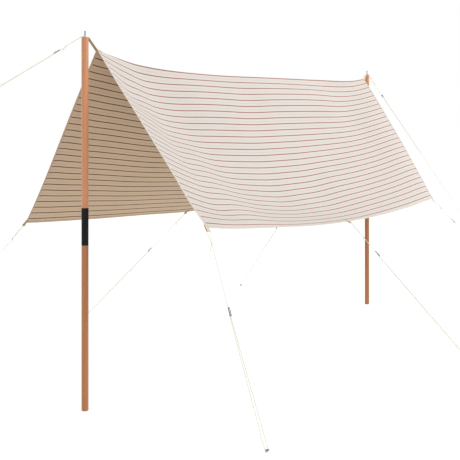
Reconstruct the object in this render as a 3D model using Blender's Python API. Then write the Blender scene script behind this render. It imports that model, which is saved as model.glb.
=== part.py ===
# Ridge canopy: one striped cloth over two jointed wooden poles, held by eight guy ropes.
# Metres, +Z up, the ground at z = 0. The ridge runs along X and the front hem faces -Y.
import math

import bmesh
import bpy
from mathutils import Matrix, Vector

# Poles
POLE_HEIGHT = 2.0
POLE_RADIUS = 0.019
POLE_SPACING = 3.615
POLE_SIDES = 32
FOOT_CHAMFER = 0.003
SLEEVE_BOTTOM = 0.886
SLEEVE_LENGTH = 0.200
SLEEVE_WALL = 0.0015
TOP_EDGE = 0.0015
PIN_RADIUS = 0.0035
PIN_HEAD_RADIUS = 0.0046
PIN_HEAD_HEIGHT = 0.007
PIN_CHAMFER = 0.0014
PIN_RISE = 0.034
PIN_DEPTH = 0.030
PIN_SIDES = 16

# Room left between two pieces that touch
GAP = 0.0003

# Edges sharper than this stay crisp; everything else is shaded smooth
CRISP_ANGLE = math.radians(35)

# Cloth
CLOTH_THICKNESS = 0.0024
RIDGE_INSETS = (0.0945, 0.0715)
CLOTH_STEPS_ALONG = 32
CLOTH_STEPS_ACROSS = 14
END_CROWDING = 0.4

# Heights of the ridge of the cloth, by its share of the way from the left end to the right end
RIDGE_HEIGHTS = (
    (0.0, 1.945),
    (0.04, 1.914),
    (0.10, 1.884),
    (0.20, 1.868),
    (0.35, 1.869),
    (0.50, 1.884),
    (0.75, 1.909),
    (0.92, 1.929),
    (1.0, 1.960),
)

# Each hem by share along, distance from the ridge plane, and height
FRONT_HEM = (
    (0.0, 0.733, 1.013),
    (0.05, 0.78, 0.996),
    (0.2, 0.731, 0.955),
    (0.35, 0.715, 0.922),
    (0.5, 0.681, 0.902),
    (0.65, 0.666, 0.90),
    (0.8, 0.686, 0.926),
    (0.93, 0.682, 0.956),
    (1.0, 0.618, 0.946),
)
BACK_HEM = (
    (0.0, 0.651, 0.955),
    (0.05, 0.695, 0.942),
    (0.2, 0.715, 0.922),
    (0.35, 0.69, 0.912),
    (0.5, 0.675, 0.90),
    (0.65, 0.682, 0.907),
    (0.8, 0.695, 0.945),
    (0.93, 0.70, 0.950),
    (1.0, 0.65, 0.935),
)

# How far each half hangs in below a straight run from ridge to hem, by share along: the depth,
# and the share of the way down where it is deepest
FRONT_BELLY = (
    (0.0, 0.003, 0.60),
    (0.04, 0.04, 0.55),
    (0.12, 0.10, 0.40),
    (0.25, 0.13, 0.60),
    (0.4, 0.14, 0.65),
    (0.55, 0.145, 0.65),
    (0.7, 0.125, 0.55),
    (0.85, 0.095, 0.38),
    (0.94, 0.03, 0.30),
    (1.0, -0.01, 0.35),
)
BACK_BELLY = (
    (0.0, 0.01, 0.75),
    (0.04, -0.01, 0.15),
    (0.12, -0.01, 0.15),
    (0.25, 0.045, 0.35),
    (0.4, 0.08, 0.40),
    (0.55, 0.085, 0.50),
    (0.7, 0.09, 0.50),
    (0.85, 0.06, 0.40),
    (0.94, 0.025, 0.25),
    (1.0, 0.0, 0.5),
)

# How far each end of a hem stands inside its pole: left, right
FRONT_INSETS = (0.0865, 0.0595)
BACK_INSETS = (0.1975, 0.0825)

# Guy ropes, with a drawn-up knot, a loose tail and a stopper knot at the slider
ROPE_RADIUS = 0.002
ROPE_SIDES = 8
KNOT_RADIUS = 0.0055
STOPPER_RADIUS = 0.0041
TAIL_LENGTH = 0.038
TAIL_DROP = 0.9
TAIL_LEAN = 0.2

# Pegs: the two ridge pegs by their distance from their pole, the others by their place along the
# ridge from its middle and out from it
LEFT_RIDGE_REACH = 4.00
RIGHT_RIDGE_REACH = 3.56
PEG_PLACES = {
    "front_left": (-1.820, -1.140),
    "front_middle": (0.027, -1.574),
    "front_right": (2.084, -1.454),
    "back_left": (-1.960, 1.404),
    "back_middle": (0.024, 1.671),
    "back_right": (2.008, 1.430),
}

# Sliders on the ropes: a flat plate with three slots that the rope weaves through
SLIDER_LENGTH = 0.047
SLIDER_WIDTH = 0.013
SLIDER_THICKNESS = 0.002
SLOT_PITCH = 0.0145
SLOT_LENGTH = 0.0092
SLOT_WIDTH = 0.0050
WEAVE_RUN = 0.0035
WEAVE_LEAD = 0.030
WEAVE_EASE = 0.004

# Sewn tabs
TAB_WIDTH = 0.020
TAB_THICKNESS = 0.0016
TAB_OVERLAP = 0.020
TAB_REACH = 0.018
EYE_RADIUS = 0.0036
RIDGE_TAB_THICKNESS = 0.002
RIDGE_TAB_OVERLAP = 0.030
RIDGE_TAB_BEND = 0.0012

# How a rope's eye closes in: shares of the tab's half width and of the pin's loop
EYE_SHOULDER = 0.55
EYE_MOUTH = 0.88
PIN_LOOP_MOUTH = 0.9
EYE_CORNER = 0.0015

# Pegs, as far as they stand above the ground
PEG_WIDTH = 0.016
PEG_THICKNESS = 0.005
PEG_NECK = 0.0095
PEG_HEAD = 0.004
PEG_HOOK = 0.007
PEG_APPROACH = 0.02

LEFT_X = -POLE_SPACING / 2
RIGHT_X = POLE_SPACING / 2

# The frame's origin is the middle of the whole footprint, pegs included
ALONG_SHIFT = (LEFT_RIDGE_REACH - RIGHT_RIDGE_REACH) / 2
ACROSS_SHIFT = -(PEG_PLACES["front_middle"][1] + PEG_PLACES["back_middle"][1]) / 2
SHIFT = Vector((ALONG_SHIFT, ACROSS_SHIFT, 0.0))


def clear_scene():
    for obj in list(bpy.data.objects):
        bpy.data.objects.remove(obj, do_unlink=True)


def make_material(name, colour, roughness, metallic=0.0):
    material = bpy.data.materials.new(name)
    material.use_nodes = True
    shader = material.node_tree.nodes["Principled BSDF"]
    shader.inputs["Base Color"].default_value = (*colour, 1.0)
    shader.inputs["Roughness"].default_value = roughness
    shader.inputs["Metallic"].default_value = metallic
    return material


def add_node(name, mesh_data, material):
    """Links one finished mesh, moved so that the footprint's middle is the origin."""
    mesh_data.transform(Matrix.Translation(SHIFT))
    mesh_data.materials.clear()
    mesh_data.materials.append(material)
    mesh_data.shade_smooth()
    mesh_data.set_sharp_from_angle(angle=CRISP_ANGLE)
    bpy.context.scene.collection.objects.link(bpy.data.objects.new(name, mesh_data))


def mesh_of(points, faces):
    """A mesh with its faces turned outwards."""
    mesh_data = bpy.data.meshes.new("piece")
    mesh_data.from_pydata([tuple(point) for point in points], [], faces)
    work = bmesh.new()
    work.from_mesh(mesh_data)
    bmesh.ops.recalc_face_normals(work, faces=work.faces)
    work.to_mesh(mesh_data)
    work.free()
    return mesh_data


def turned(profile, sides, centre):
    """Turns (radius, height) points about the upright line through centre; ends on the axis are closed."""
    points = []
    rings = []
    for radius, height in profile:
        if radius == 0.0:
            rings.append([len(points)])
            points.append(centre + Vector((0, 0, height)))
            continue
        first = len(points)
        for k in range(sides):
            angle = 2 * math.pi * k / sides
            points.append(centre + Vector((radius * math.cos(angle), radius * math.sin(angle), height)))
        rings.append(list(range(first, first + sides)))
    if profile[0][0] != 0.0:
        rings.append(rings[0])
    faces = []
    for low, high in zip(rings, rings[1:]):
        for k in range(sides):
            following = (k + 1) % sides
            if len(low) == 1:
                faces.append((low[0], high[k], high[following]))
            elif len(high) == 1:
                faces.append((low[k], low[following], high[0]))
            else:
                faces.append((low[k], low[following], high[following], high[k]))
    return mesh_of(points, faces)


def tube(route, radius, sides, closed=False):
    """A round tube along a list of points, with flat ends unless it is closed."""
    count = len(route)
    points = []
    side_way = None
    for i, point in enumerate(route):
        before = route[i - 1] if i or closed else point
        after = route[(i + 1) % count] if i + 1 < count or closed else point
        along = (after - before).normalized()
        if side_way is None:
            side_way = along.orthogonal()
        side_way = (side_way - along * side_way.dot(along)).normalized()
        other = along.cross(side_way)
        for k in range(sides):
            angle = 2 * math.pi * k / sides
            points.append(point + radius * (math.cos(angle) * side_way + math.sin(angle) * other))
    faces = []
    for i in range(count if closed else count - 1):
        here = i * sides
        there = ((i + 1) % count) * sides
        for k in range(sides):
            following = (k + 1) % sides
            faces.append((here + k, here + following, there + following, there + k))
    if not closed:
        faces.append(tuple(range(sides)))
        faces.append(tuple(range((count - 1) * sides, count * sides)))
    return mesh_of(points, faces)


def extruded(outline, frame, half_width):
    """A flat outline in the frame's first two directions, extruded both ways along its third."""
    count = len(outline)
    points = []
    for side in (-half_width, half_width):
        points += [frame @ Vector((a, b, side)) for a, b in outline]
    faces = [tuple(range(count)), tuple(range(count, 2 * count))]
    for i in range(count):
        following = (i + 1) % count
        faces.append((i, following, count + following, count + i))
    return mesh_of(points, faces)


def ball(centre, radius):
    """A small faceted ball for a drawn-up knot."""
    work = bmesh.new()
    bmesh.ops.create_icosphere(work, subdivisions=2, radius=radius)
    mesh_data = bpy.data.meshes.new("piece")
    work.to_mesh(mesh_data)
    work.free()
    mesh_data.transform(Matrix.Translation(centre))
    return mesh_data


def combined(base, others, operation):
    """The solid left when the others are joined to the base or cut from it."""
    body = bpy.data.objects.new("body", base)
    bpy.context.scene.collection.objects.link(body)
    helpers = []
    for other in others:
        helper = bpy.data.objects.new("helper", other)
        bpy.context.scene.collection.objects.link(helper)
        helpers.append(helper)
        step = body.modifiers.new("combine", "BOOLEAN")
        step.operation = operation
        step.solver = "EXACT"
        step.object = helper
    graph = bpy.context.evaluated_depsgraph_get()
    result = bpy.data.meshes.new_from_object(body.evaluated_get(graph))
    for obj in [body, *helpers]:
        bpy.data.objects.remove(obj, do_unlink=True)
    return result


def smooth_value(rows, share, column):
    """Reads one column of a list of stations at a share of the way along, through a smooth curve."""
    last = len(rows) - 1
    i = 0
    while i < last - 1 and share > rows[i + 1][0]:
        i += 1
    start, end = rows[i], rows[i + 1]

    def slope(k):
        low = rows[max(k - 1, 0)]
        high = rows[min(k + 1, last)]
        return (high[column] - low[column]) / (high[0] - low[0])

    span = end[0] - start[0]
    t = (share - start[0]) / span
    t2 = t * t
    t3 = t2 * t
    return (
        (2 * t3 - 3 * t2 + 1) * start[column]
        + (t3 - 2 * t2 + t) * span * slope(i)
        + (3 * t2 - 2 * t3) * end[column]
        + (t3 - t2) * span * slope(i + 1)
    )


def cloth_point(share, across):
    """A point of the cloth: share 0 to 1 from left to right, across -1 (front hem) to 1 (back hem)."""
    front = across < 0
    hem = FRONT_HEM if front else BACK_HEM
    belly = FRONT_BELLY if front else BACK_BELLY
    insets = FRONT_INSETS if front else BACK_INSETS
    down = abs(across)
    ridge_x = LEFT_X + RIDGE_INSETS[0] + share * (POLE_SPACING - sum(RIDGE_INSETS))
    hem_x = LEFT_X + insets[0] + share * (POLE_SPACING - sum(insets))
    ridge = Vector((ridge_x, 0.0, smooth_value(RIDGE_HEIGHTS, share, 1)))
    reach = math.copysign(smooth_value(hem, share, 1), across)
    run = Vector((hem_x, reach, smooth_value(hem, share, 2))) - ridge
    inwards = Vector((0.0, -math.copysign(run.z, across), -abs(run.y))).normalized()
    deepest = smooth_value(belly, share, 2)
    eased = down ** (math.log(0.5) / math.log(deepest))
    hang = smooth_value(belly, share, 1) * 4 * eased * (1 - eased)
    return ridge + run * down + inwards * hang


def stations_along():
    """Shares along the cloth, closer together towards its two ends."""
    steps = CLOTH_STEPS_ALONG
    shares = []
    for i in range(steps + 1):
        crowded = 0.5 * (1 - math.cos(math.pi * i / steps))
        shares.append((1 - END_CROWDING) * i / steps + END_CROWDING * crowded)
    return shares


def cloth_normal(share, across):
    """The outward side of the cloth, straight up along the ridge itself."""
    step = stations_along()[1]
    low_share, high_share = max(share - step, 0.0), min(share + step, 1.0)
    if across == 0.0:
        along = cloth_point(high_share, 0.0) - cloth_point(low_share, 0.0)
        return Vector((-along.z, 0.0, along.x)).normalized()
    row = 1 / CLOTH_STEPS_ACROSS
    inner = math.copysign(max(abs(across) - row, 0.0), across)
    outer = math.copysign(min(abs(across) + row, 1.0), across)
    along = cloth_point(high_share, across) - cloth_point(low_share, across)
    outwards = cloth_point(share, outer) - cloth_point(share, inner)
    normal = along.cross(outwards).normalized()
    return normal if normal.z > 0 else -normal


def canopy_cloth():
    """One closed sheet from hem to hem over the ridge."""
    shares = stations_along()
    rows = [i / CLOTH_STEPS_ACROSS for i in range(-CLOTH_STEPS_ACROSS, CLOTH_STEPS_ACROSS + 1)]
    columns = len(rows)
    points = []
    for side in (0.5, -0.5):
        for share in shares:
            for across in rows:
                offset = side * CLOTH_THICKNESS * cloth_normal(share, across)
                points.append(cloth_point(share, across) + offset)
    under = len(shares) * columns
    faces = []
    for i in range(len(shares) - 1):
        for j in range(columns - 1):
            a = i * columns + j
            quad = [a, a + 1, a + columns + 1, a + columns]
            # Each patch is split so that a corner of the cloth lies flat in one triangle
            if (i < CLOTH_STEPS_ALONG // 2) == (j < CLOTH_STEPS_ACROSS):
                quad = quad[1:] + quad[:1]
            for triangle in (quad[:3], [quad[2], quad[3], quad[0]]):
                faces.append(tuple(triangle))
                faces.append(tuple(corner + under for corner in triangle))
    edge = [i * columns for i in range(len(shares))]
    edge += [(len(shares) - 1) * columns + j for j in range(1, columns)]
    edge += [i * columns + columns - 1 for i in range(len(shares) - 2, -1, -1)]
    edge += list(range(columns - 2, 0, -1))
    for here, there in zip(edge, edge[1:] + edge[:1]):
        faces.append((here, there, there + under, here + under))
    return mesh_of(points, faces)


def pole(side, x, wood, black, steel):
    """Two turned wooden lengths plugged into a sleeve, with a steel pin in the top."""
    foot = Vector((x, 0.0, 0.0))
    tube_radius = POLE_RADIUS - SLEEVE_WALL
    spigot = tube_radius - GAP
    sleeve_top = SLEEVE_BOTTOM + SLEEVE_LENGTH
    middle = SLEEVE_BOTTOM + SLEEVE_LENGTH / 2
    foot_radius = POLE_RADIUS - FOOT_CHAMFER
    shoulder = SLEEVE_BOTTOM - GAP
    lower = (
        (0.0, 0.0),
        (foot_radius, 0.0),
        (POLE_RADIUS, FOOT_CHAMFER),
        (POLE_RADIUS, shoulder),
        (spigot, shoulder),
        (spigot, middle - GAP / 2),
        (0.0, middle - GAP / 2),
    )
    add_node(f"{side}_pole_lower", turned(lower, POLE_SIDES, foot), wood)
    hole = PIN_RADIUS + GAP
    hole_bottom = POLE_HEIGHT - PIN_DEPTH - GAP
    upper = (
        (0.0, middle + GAP / 2),
        (spigot, middle + GAP / 2),
        (spigot, sleeve_top + GAP),
        (POLE_RADIUS, sleeve_top + GAP),
        (POLE_RADIUS, POLE_HEIGHT - TOP_EDGE),
        (POLE_RADIUS - TOP_EDGE, POLE_HEIGHT),
        (hole, POLE_HEIGHT),
        (hole, hole_bottom),
        (0.0, hole_bottom),
    )
    add_node(f"{side}_pole_upper", turned(upper, POLE_SIDES, foot), wood)
    sleeve = (
        (POLE_RADIUS, SLEEVE_BOTTOM),
        (POLE_RADIUS, sleeve_top),
        (tube_radius, sleeve_top),
        (tube_radius, SLEEVE_BOTTOM),
    )
    add_node(f"{side}_pole_sleeve", turned(sleeve, POLE_SIDES, foot), black)
    pin_top = POLE_HEIGHT + PIN_RISE
    pin = (
        (0.0, POLE_HEIGHT - PIN_DEPTH),
        (PIN_RADIUS, POLE_HEIGHT - PIN_DEPTH),
        (PIN_RADIUS, pin_top - PIN_HEAD_HEIGHT),
        (PIN_HEAD_RADIUS, pin_top - PIN_HEAD_HEIGHT + PIN_CHAMFER),
        (PIN_HEAD_RADIUS, pin_top - PIN_CHAMFER),
        (PIN_HEAD_RADIUS - PIN_CHAMFER, pin_top),
        (0.0, pin_top),
    )
    add_node(f"{side}_pole_pin", turned(pin, PIN_SIDES, foot), steel)


def ridge_tab(side, x, inwards, webbing):
    """The strap from the pin, over the pole's top edge and down onto the end of the ridge."""
    share = 0.0 if inwards > 0 else 1.0
    second = stations_along()[1] if inwards > 0 else stations_along()[-2]
    lift = (CLOTH_THICKNESS + RIDGE_TAB_THICKNESS) / 2 + 2 * GAP
    ridge_end = cloth_point(share, 0.0)
    run = (cloth_point(second, 0.0) - ridge_end).normalized()
    up = Vector((-run.z * inwards, 0.0, abs(run.x)))
    flat = POLE_HEIGHT + GAP + RIDGE_TAB_THICKNESS / 2
    end_radius = TAB_WIDTH / 2
    route = [
        Vector((x - inwards * end_radius, 0.0, flat)),
        Vector((x + inwards * (POLE_RADIUS + RIDGE_TAB_BEND), 0.0, flat)),
        Vector((x + inwards * (POLE_RADIUS + 3 * RIDGE_TAB_BEND), 0.0, flat - RIDGE_TAB_BEND)),
        ridge_end + up * lift,
        ridge_end + up * lift + run * RIDGE_TAB_OVERLAP,
    ]
    outline = []
    for face_side in (0.5, -0.5):
        line = []
        for i, point in enumerate(route):
            before = route[max(i - 1, 0)]
            after = route[min(i + 1, len(route) - 1)]
            along = (after - before).normalized()
            normal = Vector((-along.z * inwards, 0.0, abs(along.x)))
            line.append(point + normal * RIDGE_TAB_THICKNESS * face_side)
        outline += line if face_side > 0 else line[::-1]
    frame = Matrix(((1, 0, 0, 0), (0, 0, 1, 0), (0, 1, 0, 0), (0, 0, 0, 1)))
    strap = extruded([(point.x, point.z) for point in outline], frame, TAB_WIDTH / 2)
    hole = PIN_RADIUS + GAP
    low, high = flat - 2 * RIDGE_TAB_THICKNESS, flat + 2 * RIDGE_TAB_THICKNESS
    cutter_profile = ((0.0, low), (hole, low), (hole, high), (0.0, high))
    cutter = turned(cutter_profile, PIN_SIDES, Vector((x, 0.0, 0.0)))
    add_node(f"{side}_ridge_tab", combined(strap, [cutter], "DIFFERENCE"), webbing)


def edge_frame(share, across, toward):
    """Where a tab sits on the hem: first direction outwards in the cloth, second its outer side."""
    corner = cloth_point(share, across)
    normal = cloth_normal(share, across)
    outwards = toward - corner
    outwards = (outwards - normal * outwards.dot(normal)).normalized()
    width = outwards.cross(normal)
    frame = Matrix((outwards, normal, width)).transposed().to_4x4()
    frame.translation = corner
    return frame


def hem_tab(name, frame, webbing):
    """A folded strap sewn to both faces of the hem, with an eye beyond the edge for the rope."""
    inner = CLOTH_THICKNESS / 2 + 2 * GAP
    outer = inner + TAB_THICKNESS
    eye_outer = EYE_RADIUS + TAB_THICKNESS
    arc = [math.radians(angle) for angle in (120, 80, 40, 0, -40, -80, -120)]
    outer_arc = [(TAB_REACH + eye_outer * math.cos(a), eye_outer * math.sin(a)) for a in arc]
    inner_arc = [(TAB_REACH + EYE_RADIUS * math.cos(a), EYE_RADIUS * math.sin(a)) for a in arc]
    outline = [(-TAB_OVERLAP, outer), *outer_arc, (-TAB_OVERLAP, -outer), (-TAB_OVERLAP, -inner)]
    outline += [*inner_arc[::-1], (-TAB_OVERLAP, inner)]
    add_node(name, extruded(outline, frame, TAB_WIDTH / 2), webbing)


def slider_plate(name, frame, steel):
    """A flat plate with rounded ends and three slots, in the frame's first and third directions."""
    end_radius = SLIDER_WIDTH / 2
    body_half = SLIDER_LENGTH / 2 - end_radius

    def long_round(centre, half, radius, steps):
        angles = [math.pi * (k / steps - 0.5) for k in range(steps + 1)]
        right = [(centre + half + radius * math.cos(a), radius * math.sin(a)) for a in angles]
        left = [(centre - half - radius * math.cos(a), -radius * math.sin(a)) for a in angles]
        return right + left

    curve = bpy.data.curves.new("outline", "CURVE")
    curve.dimensions = "2D"
    curve.fill_mode = "BOTH"
    curve.extrude = SLIDER_THICKNESS / 2
    slot_radius = SLOT_WIDTH / 2
    slot_half = SLOT_LENGTH / 2 - slot_radius
    outlines = [long_round(0.0, body_half, end_radius, 6)]
    outlines += [long_round(k * SLOT_PITCH, slot_half, slot_radius, 4) for k in (-1, 0, 1)]
    for outline in outlines:
        spline = curve.splines.new("POLY")
        spline.points.add(len(outline) - 1)
        spline.use_cyclic_u = True
        for point, (a, b) in zip(spline.points, outline):
            point.co = (a, b, 0.0, 1.0)
    holder = bpy.data.objects.new("holder", curve)
    bpy.context.scene.collection.objects.link(holder)
    graph = bpy.context.evaluated_depsgraph_get()
    plate = bpy.data.meshes.new_from_object(holder.evaluated_get(graph))
    bpy.data.objects.remove(holder, do_unlink=True)
    lying = Matrix(((1, 0, 0, 0), (0, 0, 1, 0), (0, -1, 0, 0), (0, 0, 0, 1)))
    plate.transform(frame @ lying)
    work = bmesh.new()
    work.from_mesh(plate)
    bmesh.ops.remove_doubles(work, verts=work.verts, dist=1e-5)
    bmesh.ops.recalc_face_normals(work, faces=work.faces)
    work.to_mesh(plate)
    work.free()
    add_node(name, plate, steel)


def peg(name, place, away, steel):
    """The flat hooked top of a ground peg; the hook points away from the canopy."""
    width = Vector((-away.y, away.x, 0.0))
    frame = Matrix((away, Vector((0, 0, 1)), width)).transposed().to_4x4()
    frame.translation = place
    half = PEG_THICKNESS / 2
    top = PEG_NECK + PEG_HEAD
    outline = [
        (-half, 0.0),
        (half, 0.0),
        (half, PEG_NECK),
        (half + PEG_HOOK, PEG_NECK),
        (half + PEG_HOOK, top),
        (-half, top),
    ]
    add_node(name, extruded(outline, frame, PEG_WIDTH / 2), steel)


def peg_neck(peg_place):
    """Where the rope's middle lies at the peg, just above the ground."""
    return peg_place + Vector((0, 0, 2 * ROPE_RADIUS + GAP))


def eye_round_tab(start, down, width_way):
    """The rope's way through a tab's eye and down both sides of the tab."""
    half_width = TAB_WIDTH / 2 + ROPE_RADIUS + 2 * GAP
    side = width_way * half_width
    corner = down * EYE_CORNER
    turn = down * (half_width * EYE_SHOULDER)
    mouth = side * EYE_MOUTH
    right = [start + turn + side, start + corner + side, start + mouth]
    left = [start - mouth, start + corner - side, start + turn - side]
    return right + left


def eye_round_pin(pin_centre, edge, outwards):
    """The rope's way over the pole's edge, level round the pin, and back over the edge."""
    radius = PIN_RADIUS + GAP + ROPE_RADIUS
    width = Vector((0, 1, 0))
    way = Vector((-outwards, 0, 0))
    angles = [math.radians(angle) for angle in range(-100, 101, 25)]
    arc = [pin_centre + radius * (way * math.cos(a) - width * math.sin(a)) for a in angles]
    mouth = width * radius * PIN_LOOP_MOUTH
    return [edge + mouth, *arc, edge - mouth]


def guy_rope(name, start, eye, peg_place, knot_at, slider_at, rope, steel):
    """One rope from its eye and knot, through the slider, round the peg and back to the slider."""
    away = Vector((peg_place.x - start.x, peg_place.y - start.y, 0.0)).normalized()
    peg_side = Vector((-away.y, away.x, 0.0))
    bend = ROPE_RADIUS / math.cos(math.radians(22.5)) + GAP
    strand_off = PEG_WIDTH / 2 + bend
    neck = peg_neck(peg_place)
    down = (neck - start).normalized()
    knot = start + down * knot_at
    plate_normal = down.cross(peg_side).normalized()
    if plate_normal.z < 0:
        plate_normal = -plate_normal
    frame = Matrix((down, plate_normal, peg_side)).transposed().to_4x4()
    frame.translation = start + down * slider_at
    off = SLIDER_THICKNESS / 2 + GAP + ROPE_RADIUS
    part_way = SLOT_PITCH / 2 - WEAVE_RUN
    spread = 2 * (ROPE_RADIUS + GAP)

    def local(a, b, c=0.0):
        return frame @ Vector((a, b, c))

    weave = [
        local(-WEAVE_LEAD, -off),
        local(-SLOT_PITCH - part_way, -off),
        local(-SLOT_PITCH + part_way, off),
        local(-part_way, off),
        local(part_way, -off),
        local(SLOT_PITCH, -off, -spread),
        local(SLIDER_LENGTH / 2 + 2 * WEAVE_EASE, -off, -spread),
    ]
    climb = down * (PEG_APPROACH / math.hypot(down.x, down.y))
    turn = [neck - climb - peg_side * strand_off]
    for corner_side, angles in ((-1, (180, 135, 90)), (1, (90, 45, 0))):
        corner = neck + peg_side * (corner_side * PEG_WIDTH / 2) + away * (PEG_THICKNESS / 2)
        for angle in angles:
            a = math.radians(angle)
            turn.append(corner + bend * (peg_side * math.cos(a) + away * math.sin(a)))
    turn.append(neck - climb + peg_side * strand_off)
    home = [
        local(SLOT_PITCH + part_way + WEAVE_EASE, -off, WEAVE_EASE / 4),
        local(SLOT_PITCH + part_way, -off),
        local(SLOT_PITCH - part_way, off),
    ]
    main = tube([knot, *weave, *turn, *home], ROPE_RADIUS, ROPE_SIDES)
    loop = tube([knot, *eye], ROPE_RADIUS, ROPE_SIDES, closed=True)
    drop = (Vector((down.y, -down.x, -TAIL_DROP)).normalized() + down * TAIL_LEAN).normalized()
    tail = tube([knot, knot + drop * TAIL_LENGTH], ROPE_RADIUS, ROPE_SIDES)
    stopper_height = SLIDER_THICKNESS / 2 + GAP + STOPPER_RADIUS
    stopper = ball(local(SLOT_PITCH - part_way - WEAVE_EASE / 4, stopper_height), STOPPER_RADIUS)
    extras = [loop, ball(knot, KNOT_RADIUS), tail, stopper]
    add_node(f"guy_rope_{name}", combined(main, extras, "UNION"), rope)
    slider_plate(f"slider_{name}", frame, steel)
    peg(f"peg_{name}", peg_place, away, steel)


def hem_guy(name, share, across, knot_at, slider_at, rope, webbing, steel):
    """A hem tab with its rope, slider and peg."""
    peg_place = Vector((*PEG_PLACES[name], 0.0))
    frame = edge_frame(share, across, peg_place)
    hem_tab(f"tab_{name}", frame, webbing)
    start = frame @ Vector((TAB_REACH + EYE_RADIUS - ROPE_RADIUS - GAP, 0.0, 0.0))
    down = (peg_neck(peg_place) - start).normalized()
    eye = eye_round_tab(start, down, frame.to_3x3() @ Vector((0, 0, 1)))
    guy_rope(name, start, eye, peg_place, knot_at, slider_at, rope, steel)


def ridge_guy(name, x, outwards, reach, knot_at, slider_at, rope, steel):
    """The rope from a pole's pin in the plane of the ridge, bent over the pole's top edge."""
    height = POLE_HEIGHT + RIDGE_TAB_THICKNESS + 2 * GAP + ROPE_RADIUS
    pin_centre = Vector((x, 0.0, height))
    edge = Vector((x + outwards * (POLE_RADIUS + RIDGE_TAB_BEND), 0.0, height))
    peg_place = Vector((x + outwards * reach, 0.0, 0.0))
    eye = eye_round_pin(pin_centre, edge, outwards)
    guy_rope(name, edge, eye, peg_place, knot_at, slider_at, rope, steel)


def build():
    clear_scene()
    wood = make_material("pole_wood", (0.60, 0.28, 0.11), 0.45)
    black = make_material("sleeve_black", (0.012, 0.012, 0.014), 0.5)
    steel = make_material("steel", (0.25, 0.25, 0.26), 0.4, 1.0)
    cloth = make_material("striped_cotton", (0.75, 0.70, 0.62), 0.9)
    webbing = make_material("cotton_webbing", (0.42, 0.34, 0.26), 0.9)
    rope = make_material("cotton_rope", (0.80, 0.78, 0.70), 0.85)

    pole("left", LEFT_X, wood, black, steel)
    pole("right", RIGHT_X, wood, black, steel)
    add_node("canopy_cloth", canopy_cloth(), cloth)
    ridge_tab("left", LEFT_X, 1, webbing)
    ridge_tab("right", RIGHT_X, -1, webbing)
    ridge_guy("left_ridge", LEFT_X, -1, LEFT_RIDGE_REACH, 0.140, 0.215, rope, steel)
    ridge_guy("right_ridge", RIGHT_X, 1, RIGHT_RIDGE_REACH, 0.110, 0.360, rope, steel)
    hem_guy("front_left", 0.0, -1.0, 0.065, 0.410, rope, webbing, steel)
    hem_guy("back_left", 0.0, 1.0, 0.105, 0.420, rope, webbing, steel)
    hem_guy("front_right", 1.0, -1.0, 0.080, 0.225, rope, webbing, steel)
    hem_guy("back_right", 1.0, 1.0, 0.090, 0.400, rope, webbing, steel)
    hem_guy("front_middle", 0.5, -1.0, 0.130, 0.270, rope, webbing, steel)
    hem_guy("back_middle", 0.5, 1.0, 0.110, 0.440, rope, webbing, steel)


build()
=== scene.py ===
import math

import bmesh
import bpy
import numpy as np
from mathutils import Matrix, Vector


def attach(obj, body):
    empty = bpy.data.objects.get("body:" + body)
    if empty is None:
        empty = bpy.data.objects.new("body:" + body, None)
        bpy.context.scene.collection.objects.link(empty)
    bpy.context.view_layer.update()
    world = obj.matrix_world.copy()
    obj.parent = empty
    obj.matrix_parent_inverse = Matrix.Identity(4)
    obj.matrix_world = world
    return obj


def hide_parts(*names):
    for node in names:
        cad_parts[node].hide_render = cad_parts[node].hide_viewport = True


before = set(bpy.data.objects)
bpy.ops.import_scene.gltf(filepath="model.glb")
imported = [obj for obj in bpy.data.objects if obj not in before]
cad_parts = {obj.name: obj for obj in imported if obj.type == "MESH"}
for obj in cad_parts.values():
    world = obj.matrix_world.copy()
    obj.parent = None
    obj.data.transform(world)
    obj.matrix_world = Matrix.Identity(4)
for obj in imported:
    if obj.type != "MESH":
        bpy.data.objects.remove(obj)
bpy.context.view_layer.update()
MM = 0.001

# Sizes that repeat the solids'
POLE_HEIGHT = 2.0
POLE_RADIUS = 19 * MM
POLE_SPACING = 3.615
LEFT_X = -POLE_SPACING / 2
RIGHT_X = POLE_SPACING / 2
SHIFT = Vector((0.22, -0.0485, 0.0))
GAP = 0.3 * MM
PIN_RADIUS = 3.5 * MM
SOLID_CLOTH = 2.4 * MM
STEPS_ALONG, STEPS_ACROSS, END_CROWDING = 32, 14, 0.4
RIDGE_INSETS = (0.0945, 0.0715)
RIDGE_HEIGHTS = (
    (0.0, 1.945), (0.04, 1.914), (0.10, 1.884), (0.20, 1.868), (0.35, 1.869),
    (0.50, 1.884), (0.75, 1.909), (0.92, 1.929), (1.0, 1.960),
)
# Hems by share along: distance from the ridge plane, height
FRONT_HEM = (
    (0.0, 0.733, 1.013), (0.05, 0.78, 0.996), (0.2, 0.731, 0.955), (0.35, 0.715, 0.922), (0.5, 0.681, 0.902),
    (0.65, 0.666, 0.90), (0.8, 0.686, 0.926), (0.93, 0.682, 0.956), (1.0, 0.618, 0.946),
)
BACK_HEM = (
    (0.0, 0.651, 0.955), (0.05, 0.695, 0.942), (0.2, 0.715, 0.922), (0.35, 0.69, 0.912), (0.5, 0.675, 0.90),
    (0.65, 0.682, 0.907), (0.8, 0.695, 0.945), (0.93, 0.70, 0.950), (1.0, 0.65, 0.935),
)
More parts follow.
